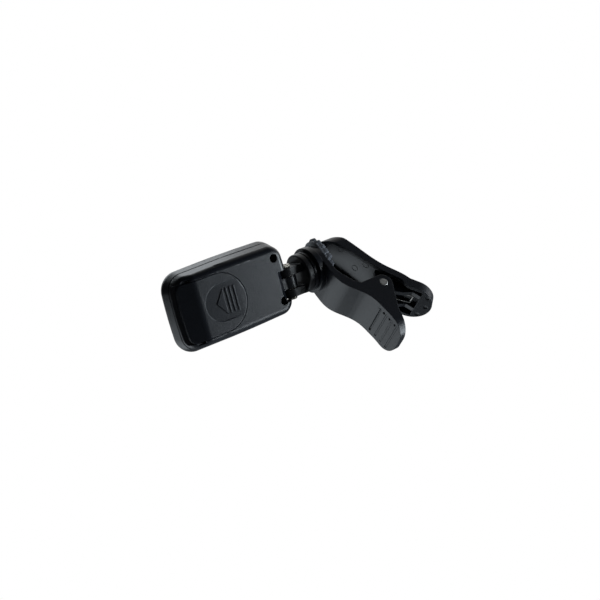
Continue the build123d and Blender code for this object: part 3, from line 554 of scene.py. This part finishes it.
def ribTree():
    # Geometry Nodes: ribs in a row, each stretched to the pad's rounded plan
    tree, sockets = geometryTree("padRibs", ("Pitch", "Half Width", "Corner", "Straight Half",
                                             "Middle", "Root", "Inset"))
    given = addNode(tree, "NodeGroupInput").outputs

    def sumOf(kind, first, second=None):
        node = tree.nodes.new("ShaderNodeMath")
        node.operation = kind
        for index, value in enumerate((first, second)):
            if isinstance(value, (int, float)):
                node.inputs[index].default_value = value
            elif value is not None:
                tree.links.new(value, node.inputs[index])
        return node.outputs[0]

    index = addNode(tree, "GeometryNodeInputIndex").outputs[0]
    lastHalf = sumOf("MULTIPLY", sumOf("SUBTRACT", given["Count"], 1.0), 0.5)
    fromMiddle = sumOf("MULTIPLY", sumOf("SUBTRACT", index, lastHalf), given["Pitch"])
    intoCorner = sumOf("SUBTRACT", sumOf("ABSOLUTE", fromMiddle), given["Straight Half"])
    over = sumOf("MAXIMUM", intoCorner, 0.0)
    squared = sumOf("SUBTRACT", sumOf("MULTIPLY", given["Corner"], given["Corner"]),
                    sumOf("MULTIPLY", over, over))
    swell = sumOf("SQRT", sumOf("MAXIMUM", squared, 0.01))
    straight = sumOf("SUBTRACT", given["Half Width"], given["Corner"])
    reach = sumOf("SUBTRACT", sumOf("ADD", straight, swell), given["Inset"])
    place = addNode(tree, "ShaderNodeCombineXYZ", {"X": 0.0},
                    {"Y": sumOf("ADD", fromMiddle, given["Middle"]), "Z": given["Root"]})
    stretch = addNode(tree, "ShaderNodeCombineXYZ", {"Y": 1.0, "Z": 1.0}, {"X": reach})
    row = addNode(tree, "GeometryNodeMeshLine", {"Offset": (0, 0, 0)}, {"Count": given["Count"]})
    spread = addNode(tree, "GeometryNodeSetPosition", {},
                     {"Geometry": row.outputs["Mesh"], "Position": place.outputs[0]})
    copies = addNode(tree, "GeometryNodeInstanceOnPoints", {},
                     {"Points": spread.outputs["Geometry"], "Instance": given["Geometry"],
                      "Scale": stretch.outputs[0]})
    finishTree(tree, copies.outputs["Instances"], padRubber)
    return tree, sockets


def padBase(steps=14):
    # the slab under the ribs, with a rounded plan and a soft upper edge
    cornerX = jawPad["width"] / 2 - jawPad["corner"]
    cornerY = jawPad["length"] / 2 - jawPad["corner"]
    outline = []
    for sx, sy, start in ((1, 1, 0), (-1, 1, 90), (-1, -1, 180), (1, -1, 270)):
        for k in range(steps + 1):
            turn = math.radians(start + 90 * k / steps)
            outline.append((sx * cornerX, sy * cornerY, math.cos(turn), math.sin(turn)))
    work = bmesh.new()
    rings = []
    for inset, rise in jawPad["layers"]:
        radius = jawPad["corner"] - inset
        rings.append([work.verts.new((x + radius * dx, y + radius * dy + jawPad["middle"],
                                      jawPad["root"] + rise)) for x, y, dx, dy in outline])
    skinRings(work, rings)
    return takeMesh(work, "padBase")


ribs = newObject("jawPadRibs", ribMesh())
ribSizes = {"Count": jawPad["count"], "Pitch": jawPad["pitch"],
            "Half Width": jawPad["width"] / 2, "Corner": jawPad["corner"],
            "Straight Half": jawPad["length"] / 2 - jawPad["corner"],
            "Middle": jawPad["middle"], "Root": jawPad["root"], "Inset": jawPad["inset"]}
useTree(ribs, *ribTree(), ribSizes)
settle(ribs, clipFrame)
ridePiece(ribs, bodyOf["jaw_pad"], replaces=("jaw_pad",))

base = newObject("jawPadBase", padBase())
base.data.transform(clipFrame)
dress(base, padRubber)
ridePiece(base, bodyOf["jaw_pad"], replaces=("jaw_pad",))
print("jaw pad made")


# ---- torsion spring: two wound halves on the pin, a bridge that turns with the far handle ----

spring = {"coilRadius": 2.4, "wire": 0.45, "turns": 3, "pitch": 0.9, "legSide": 2.05,
          "footAlong": 30.0, "footOff": 16.2, "bridgeRun": 44.3, "bridgeHigh": 6.9, "steps": 20,
          "tuckSteps": 3, "tuck": 0.84, "shoulder": 0.08}


def touchTurn(centre, target, side):
    # angle on the coil where a straight leg from the target leaves it
    along, off = target[0] - centre[0], target[1] - centre[1]
    return math.atan2(off, along) + side * math.acos(spring["coilRadius"] / math.hypot(along, off))


def springHalf():
    # one half's wire, in the clip's frame: the foot and the coil, then the leg to the bridge
    centre = (clip["pinAlong"], clip["pinOff"])
    run, high = spring["bridgeRun"], spring["bridgeHigh"]
    bridge = (run * math.cos(lean) - high * math.sin(lean),
              run * math.sin(lean) + high * math.cos(lean))
    foot = (spring["footAlong"], spring["footOff"])
    start = touchTurn(centre, foot, -1)
    end = touchTurn(centre, bridge, 1)
    while end < start:
        end += 2 * math.pi
    sweep = end - start + 2 * math.pi * (spring["turns"] - 1)
    inner = spring["pitch"] / 2
    count = int(spring["steps"] * sweep / (2 * math.pi))
    wound = [(inner, foot[0], foot[1], 1.0)]
    for k in range(count + 1):
        turn = start + sweep * k / count
        side = inner + (spring["legSide"] - inner) * k / count
        wound.append((side, centre[0] + spring["coilRadius"] * math.cos(turn),
                      centre[1] + spring["coilRadius"] * math.sin(turn), 1.0))
    # the leg starts thinner, inside the coil's last part, and stays joined as the clip opens
    leg = [(*place[:3], spring["tuck"]) for place in wound[-spring["tuckSteps"] - 1:]]
    side, along, off, full = wound[-1]
    leg.append((side, along + (bridge[0] - along) * spring["shoulder"],
                off + (bridge[1] - off) * spring["shoulder"], full))
    leg.append((side, bridge[0], bridge[1], full))
    return wound, leg


def otherSide(line):
    return [(-place[0], *place[1:]) for place in line]


def wirePiece(name, lines):
    # a mesh of round wire along each line of (x, y, z, thickness share), in the clip's frame
    curve = bpy.data.curves.new(name + "Line", "CURVE")
    curve.dimensions = "3D"
    curve.bevel_depth = spring["wire"]
    curve.bevel_resolution = 4
    curve.use_fill_caps = True
    for places in lines:
        spline = curve.splines.new("POLY")
        spline.points.add(len(places) - 1)
        for point, place in zip(spline.points, places):
            point.co = (*place[:3], 1.0)
            point.radius = place[3]
    wire = bpy.data.objects.new(name + "Line", curve)
    bpy.context.scene.collection.objects.link(wire)
    bpy.context.view_layer.update()
    mesh = evaluatedMesh(wire)
    bpy.data.objects.remove(wire)
    mesh.transform(clipFrame)
    piece = newObject(name, mesh)
    dress(piece, springSteel)
    return piece


wound, leg = springHalf()
coils = wirePiece("torsionSpringWound", [wound, otherSide(wound)])
ridePiece(coils, bodyOf["torsion_spring"], replaces=("torsion_spring",))
bridgeWire = wirePiece("torsionSpringBridge", [leg + otherSide(leg)[::-1]])
ridePiece(bridgeWire, bodyOf["far_lever"], replaces=("torsion_spring",))
print("spring wound")


# ---- far jaw: ejector rings left on its inner floor ----

ejector = {"spots": ((-1.3, 3.9), (6.5, -0.5), (9.6, 4.6)), "radius": 1.25, "bead": 0.16,
           "sunk": 0.1, "proud": 0.09, "crest": 0.6, "castFrom": 12.0}
lever = frame["nodes"]["far_lever"].data
surface = BVHTree.FromPolygons([v.co for v in lever.vertices],
                               [list(p.vertices) for p in lever.polygons])
foot, crest = ejector["bead"], ejector["bead"] * ejector["crest"]
bead = [(ejector["radius"] + across, height)
        for across, height in ((-foot, -ejector["sunk"]), (-crest, ejector["proud"]),
                               (crest, ejector["proud"]), (foot, -ejector["sunk"]),
                               (-foot, -ejector["sunk"]))]
for number, (t, w) in enumerate(ejector["spots"]):
    start = clipFrame @ Vector((w, t, ejector["castFrom"]))
    place, normal, _, _ = surface.ray_cast(start, swivelWay)
    turn = normal.to_track_quat("Z", "Y").to_matrix().to_4x4()
    mesh = ringMesh(bead)
    mesh.transform(Matrix.Translation(place) @ turn @ Matrix.Scale(mm, 4))
    ring = newObject("ejectorRing%d" % number, mesh)
    dress(ring, leverAbs)
    ridePiece(ring, bodyOf["far_lever"])
print("ejector rings placed:", len(ejector["spots"]))


# ---- display: an arc of plain tick marks and a pointer printed on the display glass ----

display = {"middle": -31.2, "low": -4.6, "radius": 9.4, "ticks": 21, "spread": 116.0,
           "level": -4.94, "pointerGap": 1.6,
           "tick": {"thick": 0.05, "long": 1.5, "wide": 0.22},
           "pointer": {"thick": 0.05, "long": 8.0, "wide": 0.3}}


def flatMark(name, size):
    work = bmesh.new()
    bmesh.ops.create_cube(work, size=1.0)
    bmesh.ops.scale(work, verts=work.verts, vec=size)
    bmesh.ops.bevel(work, geom=work.edges[:], offset=min(size) * 0.3, segments=1, affect="EDGES")
    return takeMesh(work, name)


markPlace = headFrame @ Matrix.Translation((display["middle"], display["low"], display["level"]))
tick = display["tick"]
arcSizes = {"Count": display["ticks"], "Radius": display["radius"],
            "Start": math.radians(90 - display["spread"] / 2),
            "Sweep": math.radians(display["spread"])}
ticks = repeatArc("displayTicks", flatMark("tick", (tick["long"], tick["thick"], tick["wide"])),
                  arcSizes, inkBlack)
settle(ticks, markPlace)
ridePiece(ticks, bodyOf["lcd_module"])
needle = display["pointer"]
needleMesh = flatMark("pointer", (needle["wide"], needle["long"], needle["thick"]))
needleMiddle = display["radius"] - display["pointerGap"] - needle["long"] / 2
needleMesh.transform(markPlace @ Matrix.Translation((0, needleMiddle, 0)))
pointer = newObject("displayPointer", needleMesh, smooth=False)
dress(pointer, inkBlack)
ridePiece(pointer, bodyOf["lcd_module"])
print("display marked")


# ---- camera ----

view = {"target": Vector((-10.4, 0, 0)) * mm, "distance": 402 * mm, "lens": 62.1,
        "sensor": 36.0, "nearest": 10 * mm, "right": Vector((0.78, -0.574, -0.25)),
        "back": Vector((-0.543, -0.819, 0.184)), "shift": (-0.005333, -0.046167)}
back = view["back"].normalized()
right = (view["right"] - back * view["right"].dot(back)).normalized()
cameraData = bpy.data.cameras.new("camera")
cameraData.sensor_width = view["sensor"]
cameraData.lens = view["lens"]
cameraData.shift_x, cameraData.shift_y = view["shift"]
cameraData.clip_start = view["nearest"]
camera = bpy.data.objects.new("camera", cameraData)
bpy.context.scene.collection.objects.link(camera)
aim = Matrix((right, back.cross(right), back)).transposed().to_4x4()
aim.translation = view["target"] + back * view["distance"]
camera.matrix_world = aim
bpy.context.scene.camera = camera


# ---- light, floor and world ----

stage = {"below": 600 * mm, "half": 3.0, "paint": "#b9bcc0", "frontDim": 0.025,
         "backBright": 0.8, "sweepWay": (0.75, 0.66, 0.0), "sweepEdge": (0.35, 0.85),
         "lampTint": (0.86, 0.94, 1.0)}
lights = {
    "leftPanel": {"way": (-0.6, 0.56, -0.56), "far": 0.6, "size": (0.5, 0.55), "power": 1.25},
    "rightPanel": {"way": (0.8, -0.6, -0.34), "far": 0.6, "size": (0.3, 0.5), "power": 3.7},
    "topPanel": {"way": (0.1, 0.8, 0.6), "far": 0.6, "size": (0.5, 0.3), "power": 0.8},
}


def softBox(name, lamp, aimed):
    data = bpy.data.lights.new(name, "AREA")
    data.shape = "RECTANGLE"
    data.size, data.size_y = lamp["size"]
    data.energy = lamp["power"]
    data.color = stage["lampTint"]
    box = bpy.data.objects.new(name, data)
    bpy.context.scene.collection.objects.link(box)
    box.location = aimed + Vector(lamp["way"]).normalized() * lamp["far"]
    box.rotation_euler = (aimed - box.location).to_track_quat("-Z", "Y").to_euler()


middle = (cadBounds[0] + cadBounds[1]) / 2
for name, lamp in lights.items():
    softBox(name, lamp, middle)

level = cadBounds[0].z - stage["below"]
corners = [(sx * stage["half"], sy * stage["half"], level)
           for sx, sy in ((-1, -1), (1, -1), (1, 1), (-1, 1))]
floorMesh = bpy.data.meshes.new("floor")
floorMesh.from_pydata(corners, [], [(0, 1, 2, 3)])
floor = newObject("floor", floorMesh, smooth=False)
floorMaterial, floorTree = newMaterial("matteFloorPaint")
paths = addNode(floorTree, "ShaderNodeLightPath")
paint = addNode(floorTree, "ShaderNodeBsdfDiffuse", {"Color": hexToLinear(stage["paint"])})
bright = addNode(floorTree, "ShaderNodeEmission", {"Color": (1, 1, 1, 1), "Strength": 1.0})
seen = addNode(floorTree, "ShaderNodeMixShader", {},
               {0: paths.outputs["Is Camera Ray"], 1: paint.outputs["BSDF"],
                2: bright.outputs["Emission"]})
addNode(floorTree, "ShaderNodeOutputMaterial", {}, {"Surface": seen.outputs["Shader"]})
dress(floor, floorMaterial)

world = bpy.data.worlds.new("world")
world.use_nodes = True
bpy.context.scene.world = world
worldTree = world.node_tree
worldTree.nodes.clear()
rays = addNode(worldTree, "ShaderNodeLightPath")
lookWay = addNode(worldTree, "ShaderNodeTexCoord")
# the white sweep stands behind the object and to its right, the rest of the room is dim
towards = addNode(worldTree, "ShaderNodeVectorMath", {1: stage["sweepWay"]},
                  {0: lookWay.outputs["Generated"]}, operation="DOT_PRODUCT")
sweep = addNode(worldTree, "ShaderNodeMapRange",
                {"From Min": stage["sweepEdge"][0], "From Max": stage["sweepEdge"][1],
                 "To Min": stage["frontDim"], "To Max": stage["backBright"]},
                {"Value": towards.outputs["Value"]})
strength = addNode(worldTree, "ShaderNodeMath", {},
                   {0: rays.outputs["Is Camera Ray"], 1: sweep.outputs["Result"]},
                   operation="MAXIMUM")
sky = addNode(worldTree, "ShaderNodeBackground", {"Color": (1, 1, 1, 1)},
              {"Strength": strength.outputs["Value"]})
addNode(worldTree, "ShaderNodeOutputWorld", {}, {"Surface": sky.outputs["Background"]})
bpy.context.scene.view_settings.view_transform = "Standard"
print("camera, lights and floor set")
